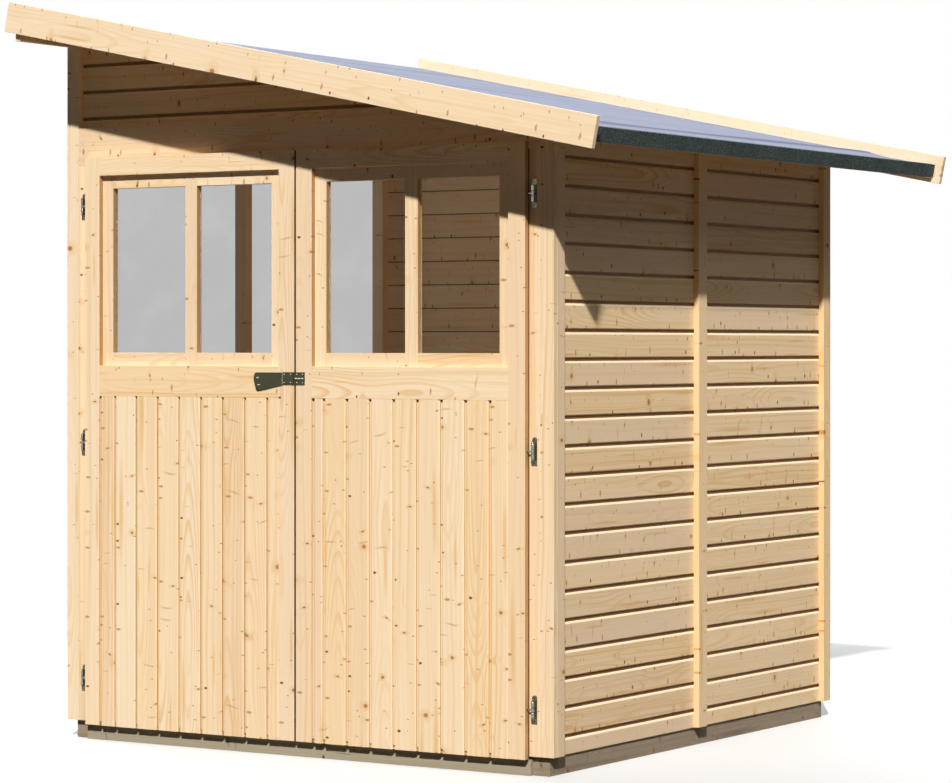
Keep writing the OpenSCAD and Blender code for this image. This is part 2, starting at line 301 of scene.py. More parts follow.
def chooseShader(tree, share, first, second, output):
    mix = addNode(tree, "ShaderNodeMixShader", {0: share, 1: first.outputs[0], 2: second.outputs[0]})
    feed(tree, tree.nodes[output], {"Surface": mix.outputs[0]})


def startGroup(name, inputs, outputs):
    tree = bpy.data.node_groups.new(name, "ShaderNodeTree")
    for title, kind in inputs:
        tree.interface.new_socket(name=title, in_out="INPUT", socket_type="NodeSocket" + kind)
    for title, kind in outputs:
        tree.interface.new_socket(name=title, in_out="OUTPUT", socket_type="NodeSocket" + kind)
    return tree, tree.nodes.new("NodeGroupInput").outputs, tree.nodes.new("NodeGroupOutput").inputs


# noises: paces along, across and through a board, then the detail
grainNoise = {"jog": (2.0, 16.0, 8.0, 0.0), "ragged": (170.0, 170.0, 20.0, 1.0),
              "wander": (0.9, 2.6, 3.0, 2.0), "broad": (0.4, 95.0, 40.0, 3.0),
              "fine": (1.8, 300.0, 200.0, 2.0), "heart": (0.7, 61.0, 0.0, 2.0),
              "patch": (2.2, 5.0, 5.0, 1.0), "cloud": (1.2, 7.0, 7.0, 2.0)}
# marks: cells per metre along and across a board, the share of the cells that have one, its size in cells
grainMarks = {
    "pin": {"path": "ragged", "pace": (15.0, 9.0), "share": 0.65, "size": (0.022, 0.062)},
    "fleck": {"path": "ragged", "pace": (27.0, 10.0), "share": 0.62, "size": (0.045, 0.11)},
    "spike": {"path": "bent", "pace": (10.0, 4.0), "share": 1.0, "size": (0.024, 0.06)},
    "sear": {"path": "bent", "pace": (24.0, 3.4), "share": 0.6, "size": (0.03, 0.09)},
    "streak": {"path": "drawn", "pace": (1.5, 24.0), "share": 0.55, "size": (0.06, 0.3)},
    "eye": {"path": "plain", "pace": (4.4, 3.6), "share": 0.55, "size": (0.018, 0.036)}}
# masks around a mark, in its radii: where it starts, where it is full and whether it is soft
grainMasks = {"pin": ("pin", 1.15, 0.6, False), "fleck": ("fleck", 1.3, 0.5, False),
              "spike": ("spike", 1.2, 0.4, False), "spikeGlow": ("spike", 4.0, 0.8, True),
              "sear": ("sear", 1.5, 0.1, True), "streak": ("streak", 1.2, 0.1, True),
              "eye": ("eye", 1.15, 0.8, False), "eyeHeart": ("eye", 0.75, 0.0, False),
              "eyeGlow": ("eye", 4.5, 0.8, True)}
# layers over the plain tint, from the lowest up: strength and colour
grainTints = {"rosy": (0.75, "Rosy"), "rings": (1.0, "Ring"), "glow": (0.4, "Ring"), "streak": (0.6, "Ring"),
              "sear": (0.45, "Branch"), "eye": (0.75, "Branch"), "eyeRim": (0.55, "Knot"),
              "eyeHeart": (0.6, "Knot"), "spike": (0.9, "Knot"), "fleck": (0.8, "Branch"),
              "pin": (1.0, "Knot")}
grainShape = {"jogAlong": 0.03, "jogAcross": 0.012, "rough": 0.004, "rimAt": 0.95, "rimWide": 0.22,
              "wander": 0.075, "push": 0.008, "broad": 0.65, "fine": 0.35, "ringPitch": 0.0068,
              "heartDeep": 0.11, "heartAside": 0.03, "heartWander": 0.012, "heartPush": 0.005,
              "toneWarm": 0.7, "cloudWarm": 0.3, "ringGloss": 0.14, "roughness": 0.52}
timberKeys = ("Pale", "Warm", "Rosy", "Ring", "Branch", "Knot", "Seam", "Gap")
timberShares = ("Knot Share", "Ring Share")
speckKeys = {"Scale": "Float", "Base": "Color", "Bright": "Color", "Dark": "Color", "Share": "Float"}


def scatterMarks(tree, run, across, mark, share):
    # distance to the nearest mark in its own radii, and whether its cell has one
    cellX, cellY = [calc(tree, "MULTIPLY", way, pace) for way, pace in zip((run, across), mark["pace"])]
    spot = addNode(tree, "ShaderNodeCombineXYZ", {"X": cellX, "Y": cellY})
    cells = addNode(tree, "ShaderNodeTexVoronoi", {
        "Vector": spot.outputs[0], "Scale": 1.0, "Randomness": 0.85}, voronoi_dimensions="2D", feature="F1")
    lots = addNode(tree, "ShaderNodeSeparateColor", {0: cells.outputs["Color"]})
    present = calc(tree, "LESS_THAN", lots.outputs[0], calc(tree, "MULTIPLY", share, mark["share"]))
    size = remap(tree, calc(tree, "POWER", lots.outputs[1], 2.0), 0.0, 1.0, *mark["size"])
    return calc(tree, "DIVIDE", cells.outputs["Distance"], size), present


def makeFigureGroup():
    # planed spruce: growth rings along the board, pin knots, branch marks across it, tone from board to
    # board, and painted light and shade from the joint attribute
    g = grainShape
    tree, given, result = startGroup("spruceFigure", [
        ("Grain", "Vector"), ("Tone", "Float"), ("Joint", "Float"),
        *((key, "Color") for key in timberKeys), *((key, "Float") for key in timberShares)],
        [("Color", "Color"), ("Roughness", "Float"), ("Height", "Float")])
    run, across, through = addNode(tree, "ShaderNodeSeparateXYZ", {0: given["Grain"]}).outputs
    tone, joint = given["Tone"], given["Joint"]

    def times(first, second):
        return calc(tree, "MULTIPLY", first, second)

    def plus(first, second, share):
        return calc(tree, "ADD", first, times(second, share))

    def boardNoise(name, second=across):
        *paces, detail = grainNoise[name]
        scaled = [times(part, pace) for part, pace in zip((run, second, through), paces)]
        place = addNode(tree, "ShaderNodeCombineXYZ", dict(zip("XYZ", scaled)))
        return addNoise(tree, place.outputs[0], 1.0, detail, 0.55)

    def toneLot(factor, *limits):
        # a number of its own for each board, from its tone
        return remap(tree, calc(tree, "FRACT", times(tone, factor)), *limits)

    jog = boardNoise("jog")
    paths = {"plain": (run, across), "bent": (plus(run, jog, g["jogAlong"]), across),
             "drawn": (run, plus(across, jog, g["jogAcross"])),
             "ragged": (plus(run, boardNoise("ragged"), g["rough"]), across)}
    marks = {name: scatterMarks(tree, *paths[mark["path"]], mark, given["Knot Share"])
             for name, mark in grainMarks.items()}
    masks = {name: times(remap(tree, marks[mark][0], start, full, smooth=soft), marks[mark][1])
             for name, (mark, start, full, soft) in grainMasks.items()}
    rim = calc(tree, "ABSOLUTE", calc(tree, "SUBTRACT", marks["eye"][0], g["rimAt"]))
    masks["eyeRim"] = times(remap(tree, rim, g["rimWide"], 0.0), marks["eye"][1])
    glow = masks["glow"] = calc(tree, "MAXIMUM", masks["spikeGlow"], masks["eyeGlow"])

    wander = boardNoise("wander")
    bent = plus(plus(across, wander, g["wander"]), glow, g["push"])
    rings = plus(times(remap(tree, boardNoise("broad", bent), 0.48, 0.68), g["broad"]),
                 remap(tree, boardNoise("fine", bent), 0.42, 0.68), g["fine"])
    rings = times(rings, toneLot(5.37, 0.0, 1.0, 0.35, 1.0))

    # flat sawn figure: rings around a heart that rises and sinks below the board's face
    local = calc(tree, "SUBTRACT", calc(tree, "FRACT", calc(tree, "ADD", across, 0.5)), 0.5)
    sink = remap(tree, boardNoise("heart", tone), 0.25, 0.75, 0.0, g["heartDeep"])
    aside = toneLot(7.13, 0.0, 1.0, -g["heartAside"], g["heartAside"])
    side = plus(calc(tree, "SUBTRACT", local, aside), wander, g["heartWander"])
    reach = plus(calc(tree, "SQRT", plus(times(side, side), sink, sink)), glow, g["heartPush"])
    season = calc(tree, "FRACT", calc(tree, "DIVIDE", reach, g["ringPitch"]))
    lateWood = times(remap(tree, season, 0.35, 0.9, smooth=True), remap(tree, season, 1.0, 0.9))
    lateWood = times(lateWood, remap(tree, boardNoise("patch"), 0.36, 0.62, 0.15, 1.0))
    rings = calc(tree, "MAXIMUM", rings, times(lateWood, toneLot(9.41, 0.2, 0.9, 0.2, 0.9)))

    masks["rosy"] = toneLot(3.71, 0.45, 0.85)
    masks["rings"] = times(rings, given["Ring Share"])
    warmth = plus(times(tone, g["toneWarm"]), remap(tree, boardNoise("cloud"), 0.3, 0.7), g["cloudWarm"])
    tint = blendColors(tree, warmth, given["Pale"], given["Warm"])
    for name, (strength, color) in grainTints.items():
        tint = blendColors(tree, times(masks[name], strength), tint, given[color])
    # painted light and shade: joint below 0 gives a painted highlight towards Pale; up to 1 an orange tint
    # and a painted shade colour for grooves and side faces; above 1 a near-black painted shadow
    tint = blendColors(tree, remap(tree, joint, 0.0, -1.0), tint, given["Pale"])
    tint = blendColors(tree, remap(tree, joint, 0.0, 0.4, 0.0, 0.6), tint, given["Ring"])
    tint = blendColors(tree, remap(tree, joint, 0.2, 1.0, 0.0, 0.88), tint, given["Seam"], "MULTIPLY")
    tint = blendColors(tree, calc(tree, "SUBTRACT", joint, 1.0, clamp=True), tint, given["Gap"])
    tree.links.new(tint, result["Color"])
    gloss = addNode(tree, "ShaderNodeMath", {0: rings, 1: g["ringGloss"], 2: g["roughness"]},
                    operation="MULTIPLY_ADD")
    tree.links.new(gloss.outputs[0], result["Roughness"])
    tree.links.new(rings, result["Height"])
    return tree


def makeSpeckGroup():
    # fine grit: two sizes of grain, for felt, roof sheet and metal
    tree, given, result = startGroup("surfaceSpeck", speckKeys.items(),
                                     [("Color", "Color"), ("Height", "Float")])
    place = addNode(tree, "ShaderNodeTexCoord").outputs["Object"]
    grit = addNoise(tree, place, given["Scale"], 3.0, 0.7)
    patch = addNoise(tree, place, calc(tree, "MULTIPLY", given["Scale"], 0.05), 3.0)
    tint = given["Base"]
    for spots, start, full, share, color in ((grit, 0.5, 0.72, given["Share"], "Bright"),
                                             (grit, 0.5, 0.3, given["Share"], "Dark"),
                                             (patch, 0.35, 0.7, 0.35, "Dark")):
        mask = calc(tree, "MULTIPLY", remap(tree, spots, start, full), share)
        tint = blendColors(tree, mask, tint, given[color])
    tree.links.new(tint, result["Color"])
    tree.links.new(grit, result["Height"])
    return tree


figureGroup = makeFigureGroup()
speckGroup = makeSpeckGroup()


def startMaterial(name):
    material = bpy.data.materials.new(name)
    material.use_nodes = True
    tree = material.node_tree
    return material, tree, tree.nodes["Principled BSDF"]


def addBump(tree, shader, height, strength, distance):
    bump = addNode(tree, "ShaderNodeBump", {"Strength": strength, "Distance": distance, "Height": height})
    tree.links.new(bump.outputs[0], shader.inputs["Normal"])


def makeTimber(name):
    look = timberLooks[name]
    material, tree, shader = startMaterial(name)
    figure = addNode(tree, "ShaderNodeGroup", {key: look[key] for key in timberKeys + timberShares},
                     node_tree=figureGroup)
    for key, output in (("Grain", "Vector"), ("Tone", "Fac"), ("Joint", "Fac")):
        painted = addNode(tree, "ShaderNodeAttribute", attribute_name=key.lower())
        tree.links.new(painted.outputs[output], figure.inputs[key])
    feed(tree, shader, {"Base Color": figure.outputs["Color"], "Roughness": figure.outputs["Roughness"],
                        "Specular IOR Level": look["specular"]})
    addBump(tree, shader, figure.outputs["Height"], look["relief"], look["depth"])
    return material


def makeSpeckled(name):
    look = speckLooks[name]
    material, tree, shader = startMaterial(name)
    speck = addNode(tree, "ShaderNodeGroup", {key: look[key] for key in speckKeys}, node_tree=speckGroup)
    tint = speck.outputs["Color"]
    # painted shade along the sheet's creases and in a streak beside its seam
    if "creaseShade" in look:  # a sheet is darker along its creases
        creaseShade = addNode(tree, "ShaderNodeAttribute", attribute_name="creaseShade").outputs["Fac"]
        tint = blendColors(tree, creaseShade, tint, look["creaseShade"])
    feed(tree, shader, {"Base Color": tint, "Roughness": look["roughness"],
                        "Specular IOR Level": look["specular"], "Metallic": look["metallic"]})
    addBump(tree, shader, speck.outputs["Height"], look["relief"], look["depth"])
    return material


paneLook = {"clear": srgb(187, 187, 187), "hazy": srgb(195, 195, 196), "shadow": srgb(206, 207, 207),
            "haze": 4.5, "smear": 26.0, "smooth": 0.015, "smeared": 0.035, "bend": 1.14}


def makePaneGlass():
    # grey pane with faint haze and smears
    p = paneLook
    material, tree, shader = startMaterial("paneGlass")
    place = addNode(tree, "ShaderNodeTexCoord").outputs["Object"]
    haze = remap(tree, addNoise(tree, place, p["haze"], 3.0), 0.45, 0.8, smooth=True)
    smear = remap(tree, addNoise(tree, place, p["smear"], 2.0), 0.4, 0.75, p["smooth"], p["smeared"])
    feed(tree, shader, {"Base Color": blendColors(tree, haze, p["clear"], p["hazy"]), "Roughness": smear,
                        "Transmission Weight": 1.0, "IOR": p["bend"]})
    clear = addNode(tree, "ShaderNodeBsdfTransparent", {"Color": p["shadow"]})
    shadowRay = addNode(tree, "ShaderNodeLightPath").outputs["Is Shadow Ray"]
    chooseShader(tree, shadowRay, shader, clear, "Material Output")
    return material


# each look's last two colours are the painted shade and the near-black painted shadow; Pale is also the
# painted highlight on chamfers
timberLooks = {
    "planedSpruce": {"Pale": srgb(252, 231, 201), "Warm": srgb(249, 220, 177), "Rosy": srgb(242, 216, 186),
                     "Ring": srgb(228, 178, 108), "Branch": srgb(184, 122, 52), "Knot": srgb(112, 62, 8),
                     "Seam": srgb(122, 98, 58), "Gap": srgb(34, 24, 12), "Knot Share": 0.74,
                     "Ring Share": 0.75, "specular": 0.12, "relief": 0.25, "depth": 0.001},
    "baseTimber": {"Pale": srgb(179, 169, 145), "Warm": srgb(164, 150, 126), "Rosy": srgb(158, 138, 120),
                   "Ring": srgb(104, 94, 78), "Branch": srgb(98, 82, 60), "Knot": srgb(58, 42, 28),
                   "Seam": srgb(110, 96, 76), "Gap": srgb(34, 26, 18), "Knot Share": 0.35,
                   "Ring Share": 0.95, "specular": 0.12, "relief": 0.5, "depth": 0.001},
}
speckLooks = {
    # the roof sheet's blue-grey is partly the sheet's own colour and partly a painted reflection of the sky
    # at grazing angles, lighter and bluer than its own dark grey
    "roofSheet": {"Scale": 260.0, "Base": srgb(139, 146, 170), "Bright": srgb(157, 163, 185),
                  "Dark": srgb(121, 127, 152), "creaseShade": srgb(94, 98, 127), "Share": 0.5, "roughness": 0.75,
                  "specular": 0.08, "metallic": 0.0, "relief": 0.15, "depth": 0.0006},
    "eaveFelt": {"Scale": 190.0, "Base": srgb(70, 82, 82), "Bright": srgb(122, 134, 134),
                 "Dark": srgb(36, 44, 46), "Share": 1.0, "roughness": 0.9,
                 "specular": 0.15, "metallic": 0.0, "relief": 0.7, "depth": 0.0015},
    "platedZinc": {"Scale": 300.0, "Base": srgb(116, 115, 92), "Bright": srgb(170, 170, 152),
                   "Dark": srgb(72, 70, 54), "Share": 0.6, "roughness": 0.3,
                   "specular": 0.5, "metallic": 0.9, "relief": 0.1, "depth": 0.0004},
    # a near-white copy of the zinc for painted glints on rivets, knuckles, pins and bolt
    "glintZinc": {"Scale": 420.0, "Base": srgb(226, 227, 222), "Bright": srgb(244, 244, 240),
                   "Dark": srgb(180, 182, 176), "Share": 0.4, "roughness": 0.3,
                   "specular": 0.5, "metallic": 0.4, "relief": 0.05, "depth": 0.0003},
    # a lighter copy of the zinc for a painted sheen on the hinges' studs and sleeves
    "sheenZinc": {"Scale": 300.0, "Base": srgb(152, 153, 144), "Bright": srgb(194, 195, 190),
                   "Dark": srgb(92, 92, 84), "Share": 0.4, "roughness": 0.22,
                   "specular": 0.5, "metallic": 0.9, "relief": 0.05, "depth": 0.0003},
    "latchPaint": {"Scale": 340.0, "Base": srgb(54, 57, 28), "Bright": srgb(78, 82, 50),
                   "Dark": srgb(38, 38, 22), "Share": 0.5, "roughness": 0.45,
                   "specular": 0.5, "metallic": 0.25, "relief": 0.15, "depth": 0.0004},
}
spruce, baseWood = [makeTimber(name) for name in timberLooks]
(roofSheetLook, eaveFeltLook, zinc, glintZinc, sheenZinc,
 latchPaint) = [makeSpeckled(name) for name in speckLooks]
paneGlass = makePaneGlass()
print("materials ready")

# walls of profile boards: each board has a chamfered top, a recessed foot and a lip above it, and its joints
# fall to the outside
wallBoards = {"pitch": 0.085, "firstJoint": 0.115, "recess": 0.0055, "chamfer": 0.006, "band": 0.009,
              "lip": 0.003, "innerGap": 0.0028, "innerLine": 0.0006, "innerShadow": 1.7, "jitter": 0.0004,
              "edge": 0.0007, "outerDrop": 0.0103, "leastHigh": 0.001, "leastTone": 0.6}


def modelWallBoard(length, thick):
    # lies along X with its face on -Y, joint to joint in Z
    w = wallBoards
    board = startBox("wallBoard", (0, 0, 0), (length, thick, w["pitch"]))
    openMesh(board)
    sliceMesh((w["band"], w["band"] + w["lip"], w["pitch"] - w["chamfer"]), 2)
    pickWhere("VERT", lambda co: co.y < hair and (co.z < w["band"] + hair or co.z > w["pitch"] - hair))
    bpy.ops.transform.translate(value=(0, w["recess"], 0))
    pickWhere("EDGE", lambda a, b: min(a.y, b.y) > thick - hair and abs(a.z - b.z) < hair
              and (a.z < hair or a.z > w["pitch"] - hair))
    bpy.ops.mesh.bevel(offset=w["innerGap"], segments=1)
    closeMesh()
    softenEdges(board, w["edge"], 1, crisp=True)

    # painted light and shade: the recessed band darkens with depth, a thin near-black painted shadow lines
    # the inner joints, and the top chamfer takes a painted highlight
    def depth(co):
        if co.y > thick / 2:
            return w["innerShadow"] if min(co.z, w["pitch"] - co.z) < w["innerLine"] else 0.0
        if co.z < w["band"] + w["lip"] * 0.6:
            return max(0.0, min(1.0, co.y / w["recess"]))
        return -1.0 if co.y > w["edge"] * 0.3 and co.z > w["pitch"] - w["chamfer"] else 0.0
    paintShadeValues(board, depth)
    openMesh(board)
    pickWhere("VERT", lambda co: co.y < thick * 0.6)
    bpy.ops.transform.translate(value=(0, 0, -w["outerDrop"]))
    closeMesh()
    return board


def boardWall(name, node, turn, clearOf=None):
    w = wallBoards
    low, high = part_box(node)
    thick, length = sorted((high.x - low.x, high.y - low.y))
    corner = {0: (low.x, low.y, 0), 90: (high.x, low.y, 0), 180: (high.x, high.y, 0)}[turn]
    place = Matrix.Translation(corner) @ Matrix.Rotation(math.radians(turn), 4, "Z")
    pattern = modelWallBoard(length, thick)
    boards = []
    height = w["firstJoint"] - w["pitch"]
    while height < high.z + w["outerDrop"]:
        if height + w["pitch"] > low.z + w["leastHigh"]:
            lift = Matrix.Translation((0, draw.uniform(0, w["jitter"]), height))
            boards.append(copyPiece(pattern, name, place @ lift))
            if clearOf and height + w["pitch"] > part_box(clearOf)[0].z:  # top boards stop at the high board
                cutMesh(boards[-1], (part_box(clearOf)[1].x, 0, 0), (-1, 0, 0))
        height += w["pitch"]
    bpy.data.objects.remove(pattern)
    wall = joinPieces(name, boards)
    cutMesh(wall, (0, 0, low.z), (0, 0, -1))
    cutMesh(wall, roofPoint, roofNormal)
    layGrain(wall, along=1 if turn == 90 else 0, leastTone=w["leastTone"])
    dress(wall, "frame", spruce, "spruce", node)


# underside of the deck, from its lowest corner at the eave
roofDeck = {"thick": 0.019, "pitch": 0.0852, "joint": 0.0025, "gap": 0.0003, "wallClear": 0.0002}
roofNormal = Vector((math.sin(roofFall), 0, math.cos(roofFall)))
roofTurn = Matrix.Rotation(roofFall, 4, "Y")
deckLow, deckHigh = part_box("roof_deck")
deckFoot = deckHigh.z - roofDeck["thick"] * math.cos(roofFall)
roofPoint = Vector((deckLow.x, 0, deckFoot)) - roofNormal * roofDeck["wallClear"]

boardWall("rightWallFrontBoards", "right_wall_front_panel", 90)
boardWall("rightWallRearBoards", "right_wall_rear_panel", 90)
boardWall("rearWallLeftBoards", "rear_wall_left_panel", 180, "high_side_board")
boardWall("rearWallRightBoards", "rear_wall_right_panel", 180)
boardWall("gableBoards", "front_gable_panel", 0)
print("walls boarded")

# plain timbers: planed copies with their edges eased; node, width of the edge, axis of the grain
baseTimbers = {
    "baseFront": ("front_base_timber", 0.002, 0),
    "baseRear": ("rear_base_timber", 0.002, 0),
    "baseRight": ("right_base_timber", 0.002, 1),
    "baseLeft": ("left_base_timber", 0.002, 1),
    "threshold": ("threshold_board", 0.0015, 0),
}
frameTimbers = {
    "frontPosts": ("front_posts", 0.002, 2),
    "rearPosts": ("rear_posts", 0.002, 2),
    "openSidePost": ("open_side_post", 0.002, 2),
    "wallStuds": ("wall_studs", 0.002, 2),
    "rafterSet": ("rafters", 0.002, 0),
    "cornerStrips": ("front_corner_strips", 0.0015, 2),
    "jambs": ("door_jambs", 0.0012, 2),
    "header": ("door_header", 0.0012, 0),
    "sideStrips": ("right_wall_strips", 0.0015, 2),
    "rearStrips": ("rear_wall_strips", 0.0015, 2),
    "highBoard": ("high_side_board", 0.0015, 1),
    "eaveBoard": ("eave_board", 0.001, 1),
    "frontFascia": ("front_fascia", 0.0015, 0),
    "rearFascia": ("rear_fascia", 0.0015, 0),
}
leafTimbers = {
    "Stiles": ("_door_stiles", 0.0012, 2),
    "Rails": ("_door_rails", 0.0012, 0),
    "Ledges": ("_door_ledges", 0.0015, 0),
    "UprightBars": ("_window_uprights", 0.0015, 2),
    "CrossBars": ("_window_cross_bars", 0.0015, 0),
}
chosenTones = {"frontFascia": 0.05, "rearFascia": 0.02, "eaveBoard": 0.07, "threshold": 0.02,
               "baseFront": 0.25, "baseRight": 0.25}
leftTones = {"cornerStrips": 0.1, "leftStiles": 0.25}
# pieces made paler all over through the joint attribute
paledPieces = {"rearFascia": -0.55}
# painted shade values for side faces and strips, the leaves' meeting edges and the bands behind the leaves,
# and where they go
paintedEdgeShade = {"side": 0.65, "strip": 0.22, "meeting": 1.45, "meetingNear": 0.002, "square": 0.98,
            "leastArea": 0.0005, "behindLeaf": 1.5, "shadowWide": 0.009, "shadowEdge": 0.0004}
leafTrim = 0.007  # the leaves' feet, cut back to the photo's gap over the threshold


def darkenSides(piece, meeting=None, axis=0, dark=paintedEdgeShade["side"]):
    # painted shade on the side faces of the upright door timbers and the wall strips, and near-black painted
    # shadow where the leaves meet
    e = paintedEdgeShade
    joint = addValues(piece.data, "joint")
    for face in piece.data.polygons:
        if abs(face.normal[axis]) > e["square"] and face.area > e["leastArea"]:
            atMeeting = meeting is not None and abs(face.center.x - meeting) < e["meetingNear"]
            for i in face.vertices:
                joint[i].value = e["meeting"] if atMeeting else dark


def shadeBehindLeaves(jambs):
    # narrow band of painted shadow on each jamb along the edge of the leaf in front of it
    e = paintedEdgeShade
    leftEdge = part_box("left_door_stiles")[0].x
    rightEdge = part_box("right_door_stiles")[1].x
    bands = ((leftEdge, leftEdge + e["shadowWide"]), (rightEdge - e["shadowWide"], rightEdge))
    openMesh(jambs)
    for start, end in bands:
        sliceMesh((start - e["shadowEdge"], start, end, end + e["shadowEdge"]), 0)
    closeMesh()

    def depth(co):
        return e["behindLeaf"] if any(start - hair < co.x < end + hair for start, end in bands) else 0.0
    paintShadeValues(jambs, depth)


def planeTimber(name, body, look, node, eased, along):
    timber = copyNode(name, node)
    if "Stiles" in name:
        cutMesh(timber, (0, 0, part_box(node)[0].z + leafTrim), (0, 0, -1))
    softenEdges(timber, eased)
    if "Stiles" in name:
        darkenSides(timber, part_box("left_door_stiles")[1].x)
    elif "UprightBars" in name:
        darkenSides(timber)
    elif name == "sideStrips":
        darkenSides(timber, axis=1, dark=paintedEdgeShade["strip"])
    elif name == "jambs":
        shadeBehindLeaves(timber)
    elif name in paledPieces:
        paintShadeValues(timber, lambda co: paledPieces[name])
    sloped = roofTurn.inverted() if "Fascia" in name or name == "rafterSet" else None
    layGrain(timber, along, sloped, chosenTones.get(name), leftTones.get(name, 1.0))
    dress(timber, body, look, "base_timber" if look is baseWood else "spruce", node)


for name, plan in baseTimbers.items():
    planeTimber(name, "frame", baseWood, *plan)
for name, plan in frameTimbers.items():
    planeTimber(name, "frame", spruce, *plan)
for side in ("left", "right"):
    for part, (node, eased, along) in leafTimbers.items():
        planeTimber(side + part, side + "_door", spruce, side + node, eased, along)
print("timbers planed")

# lower door panels: upright boards in the walls' profile, band and lip on the left, chamfer on the right
# edgeDark and pocketDark, and the leaves' bandDark and slitDarks below, are painted shade values
doorBoards = {"pitch": 0.085, "recess": 0.0036, "lip": 0.001, "edge": 0.0022, "edgeDark": 0.5,
              "chamfer": 0.0036, "slit": 0.0028, "step": 0.0005, "footHigh": 0.012, "footDeep": 0.0065,
              "pocketHigh": 0.0085, "pocketDeep": 0.007, "pocketWide": 0.0072, "pocketDark": 2.0,
              "endMargin": 0.014}
leftLeaf = {"first": 0.7, "fromLeft": True, "band": 0.0075, "bandDark": 0.28,
            "slitDarks": (0.35, 1.2, 2.0, 1.4, 1.2, 1.25, 1.3, 1.3, 1.4)}
rightLeaf = {"first": 0.8, "fromLeft": False, "band": 0.0098, "bandDark": 0.13,
             "slitDarks": (0.9, 0.95, 1.1, 1.05, 0.95, 1.0, 0.9, 0.9, 0.35)}


def modelDoorBoard(name, low, high, leaf, slitDark):
    d = doorBoards
    pocketFoot = high.z - d["pocketHigh"]
    pocketEnd = low.x + d["pocketWide"]
    footTop = low.z + d["footHigh"]
    foot = low.x + leaf["band"]
    edge = foot + d["lip"]
    board = startBox(name, low, high)
    openMesh(board)
    sliceMesh((low.x + d["slit"], pocketEnd, foot, edge, edge + d["edge"], high.x - d["chamfer"]), 0)
    sliceMesh((pocketFoot, pocketFoot + d["step"], footTop, footTop + d["step"]), 2)
    pickWhere("VERT", lambda co: co.y < low.y + hair and (co.x < foot + hair or co.x > high.x - hair))
    bpy.ops.transform.translate(value=(0, d["recess"], 0))
    pickWhere("VERT", lambda co: low.y + hair < co.y < high.y - hair and co.x < pocketEnd + hair
              and co.z > pocketFoot + hair)
    bpy.ops.transform.translate(value=(0, d["pocketDeep"], 0))
    pickWhere("VERT", lambda co: low.y + hair < co.y < high.y - hair and co.x < foot + hair
              and co.z < footTop + hair)
    bpy.ops.transform.translate(value=(0, d["footDeep"], 0))
    closeMesh()

    # painted shade: a line on the face at the lip, near-black painted shadow in the pockets, painted shade in
    # each slit, and a faint orange tint on the recessed band
    def depth(co):
        if co.y < low.y + hair:
            return d["edgeDark"] if co.x < edge + hair else 0.0
        if co.y > high.y - hair:
            return 0.0
        if co.z > pocketFoot + hair and co.x < pocketEnd + hair:
            return d["pocketDark"]
        return slitDark if co.x < low.x + hair else leaf["bandDark"]
    paintShadeValues(board, depth)
    return board


def boardDoor(name, node, body, leaf):
    d = doorBoards
    low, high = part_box(node)
    low.z += leafTrim
    width = high.x - low.x
    marks = [0.0]
    mark = leaf["first"] * d["pitch"]
    while mark < width - d["endMargin"]:
        marks.append(mark)
        mark += d["pitch"]
    marks.append(width)
    boards = []
    for i, (start, end) in enumerate(zip(marks, marks[1:])):
        left, right = (low.x + start, low.x + end) if leaf["fromLeft"] else (high.x - end, high.x - start)
        slitDark = leaf["slitDarks"][i % len(leaf["slitDarks"])]
        boards.append(modelDoorBoard(name, Vector((left, low.y, low.z)), Vector((right, high.y, high.z)),
                                     leaf, slitDark))
    panel = joinPieces(name, boards)
    layGrain(panel, 2)
    dress(panel, body, spruce, "spruce", node)


boardDoor("leftDoorBoards", "left_door_boards", "left_door", leftLeaf)
boardDoor("rightDoorBoards", "right_door_boards", "right_door", rightLeaf)
print("doors boarded")

# roof: boards under a loose sheet, with a turned down felt strip at the eave
deckPlace = Matrix.Translation((deckLow.x, deckLow.y, deckFoot)) @ roofTurn
deckLength = (deckHigh.x - deckLow.x - roofDeck["thick"] * math.sin(roofFall)) / math.cos(roofFall)
deckWidth = deckHigh.y - deckLow.y


def layDeck():
    d = roofDeck
    boards = []
    for i in range(int(deckLength // d["pitch"]) + 1):
        start, end = i * d["pitch"], min((i + 1) * d["pitch"], deckLength)
        board = startBox("roofBoards", (start + d["gap"], 0, 0), (end - d["gap"], deckWidth, d["thick"]))
        openMesh(board)
        pickWhere("EDGE", lambda a, b: abs(a.x - b.x) < hair and abs(a.y - b.y) > hair and a.z < hair)
        bpy.ops.mesh.bevel(offset=d["joint"], segments=1)
        closeMesh()
        board.data.transform(deckPlace)
        boards.append(board)
    deck = joinPieces("roofBoards", boards)
    layGrain(deck, 1)
    dress(deck, "frame", spruce, "spruce", "roof_deck")


layDeck()

# waves and folds: paces down and along the roof, level of the noise and share
roofSheet = {"columns": 230, "rows": 110, "short": 0.001, "level": 0.0018, "ripple": 0.0042, "rimFade": 25,
             "seam": 0.006, "seamAt": 0.9, "seamWide": 0.024, "seamWander": 0.8, "seamPace": 1.3,
             "seamDark": 0.9, "darkAt": 0.7, "darkFall": 2, "waveLift": 0.5,
             "waves": ((5, 0.9, 2.0, 1.0), (13, 1.6, 7.0, 0.45)),
             "folds": ((17, 0.7, 5.0, 1.0), (34, 1.1, 9.0, 0.5))}


